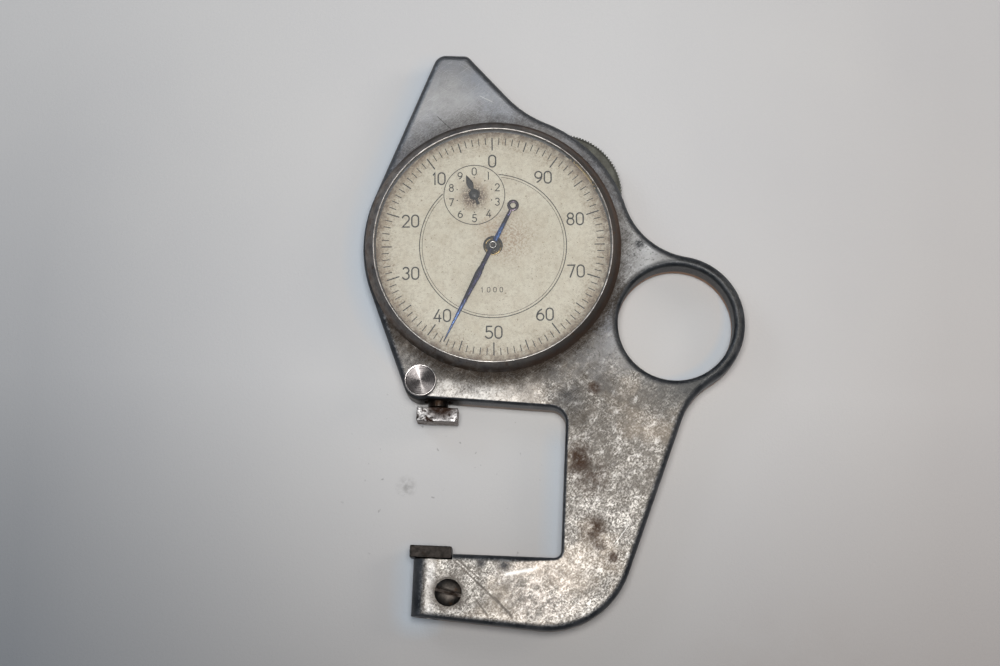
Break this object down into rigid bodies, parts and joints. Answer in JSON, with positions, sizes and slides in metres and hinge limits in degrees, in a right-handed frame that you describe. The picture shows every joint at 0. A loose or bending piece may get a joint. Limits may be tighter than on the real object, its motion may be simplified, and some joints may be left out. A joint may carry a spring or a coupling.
{
  "type": "dial thickness gauge",
  "caption": "Pocket dial thickness gauge: flat C frame with finger ring, round cream dial, sliding spindle and pad, thumbwheel drive, lock knob and clamped anvil.",
  "frame": {"origin": "centre of the flat back face on the dial axis", "axes": "+Z out of the dial face, +Y along the spindle towards the horn, +X towards the finger ring"},
  "size_m": [0.0753, 0.1132, 0.0106],
  "materials": {
    "frame_steel": "worn nickel plate, scratched and spotted",
    "browned_steel": "browned and oil-darkened",
    "bright_steel": "turned, lightly pitted",
    "arbor_steel": "ground",
    "blued_steel": "heat-blued",
    "black_steel": "blackened",
    "wheel_steel": "dull, knurled",
    "brass": "aged",
    "dial_cream": "cream enamel, stained",
    "crystal": "clear"
  },
  "bodies": {
    "housing": {"frame": "frame_steel", "back_cover": "frame_steel", "back_cover_screw_1": "browned_steel", "back_cover_screw_2": "browned_steel", "back_cover_screw_3": "browned_steel", "bezel": "browned_steel", "crystal": "crystal", "dial_plate": "dial_cream", "movement_back_plate": "brass", "movement_front_plate": "brass", "plate_pillar_1": "brass", "plate_pillar_2": "brass", "plate_pillar_3": "brass", "plate_screw_1": "bright_steel", "plate_screw_2": "bright_steel", "plate_screw_3": "bright_steel", "centre_bush": "brass", "spindle_guide_block": "brass", "guide_block_screw": "bright_steel", "hairspring_stud": "brass", "spindle_lower_bush": "brass", "anvil_clamp_screw": "browned_steel"},
    "spindle_body": {"spindle": "bright_steel", "contact_pad": "bright_steel"},
    "anvil_body": {"anvil": "browned_steel"},
    "counter_shaft": {"counter_arbor": "arbor_steel", "train_gear": "brass", "counter_hand": "black_steel"},
    "centre_shaft": {"centre_arbor": "arbor_steel", "main_hand": "blued_steel"},
    "thumbwheel_shaft": {"thumbwheel": "wheel_steel", "thumbwheel_gear": "brass", "thumbwheel_arbor": "arbor_steel"},
    "takeup_shaft": {"takeup_gear": "brass", "takeup_arbor": "arbor_steel", "hairspring": "blued_steel"},
    "lock": {"lock_knob": "bright_steel", "lock_cam_pin": "bright_steel"}
  },
  "joints": [
    {"name": "thumbwheel_spin", "type": "hinge", "parent": "housing", "child": "thumbwheel_shaft", "pos_m": [0.01268, 0.01157, 0], "axis": [0, 0, 1], "range_deg": [-484.3, 20.2]},
    {"name": "counter_spin", "type": "hinge", "parent": "housing", "child": "counter_shaft", "pos_m": [-0.0041, 0.0101, 0], "axis": [0, 0, 1], "range_deg": [-14.2, 339.1]},
    {"name": "centre_spin", "type": "hinge", "parent": "housing", "child": "centre_shaft", "pos_m": [0, 0, 0], "axis": [0, 0, 1], "range_deg": [-3390.5, 141.6]},
    {"name": "takeup_spin", "type": "hinge", "parent": "housing", "child": "takeup_shaft", "pos_m": [0.00347, -0.00601, 0], "axis": [0, 0, 1], "range_deg": [-23.7, 565.3]},
    {"name": "spindle_slide", "type": "slide", "parent": "housing", "child": "spindle_body", "axis": [0, 1, 0], "range_m": [-0.02395, 0.001]},
    {"name": "lock_turn", "type": "hinge", "parent": "housing", "child": "lock", "pos_m": [-0.0128, -0.0275, 0], "axis": [0, 0, 1], "range_deg": [0, 90]},
    {"name": "anvil_adjust", "type": "slide", "parent": "housing", "child": "anvil_body", "axis": [0, 1, 0], "range_m": [-0.0002, 0]}
  ],
  "couplings": [
    {"joint": "counter_spin", "follows": "thumbwheel_spin", "ratio": -0.7},
    {"joint": "centre_spin", "follows": "thumbwheel_spin", "ratio": 7},
    {"joint": "takeup_spin", "follows": "thumbwheel_spin", "ratio": -1.1667},
    {"joint": "spindle_slide", "follows": "thumbwheel_spin", "m_per_rad": 0.0028298}
  ]
}
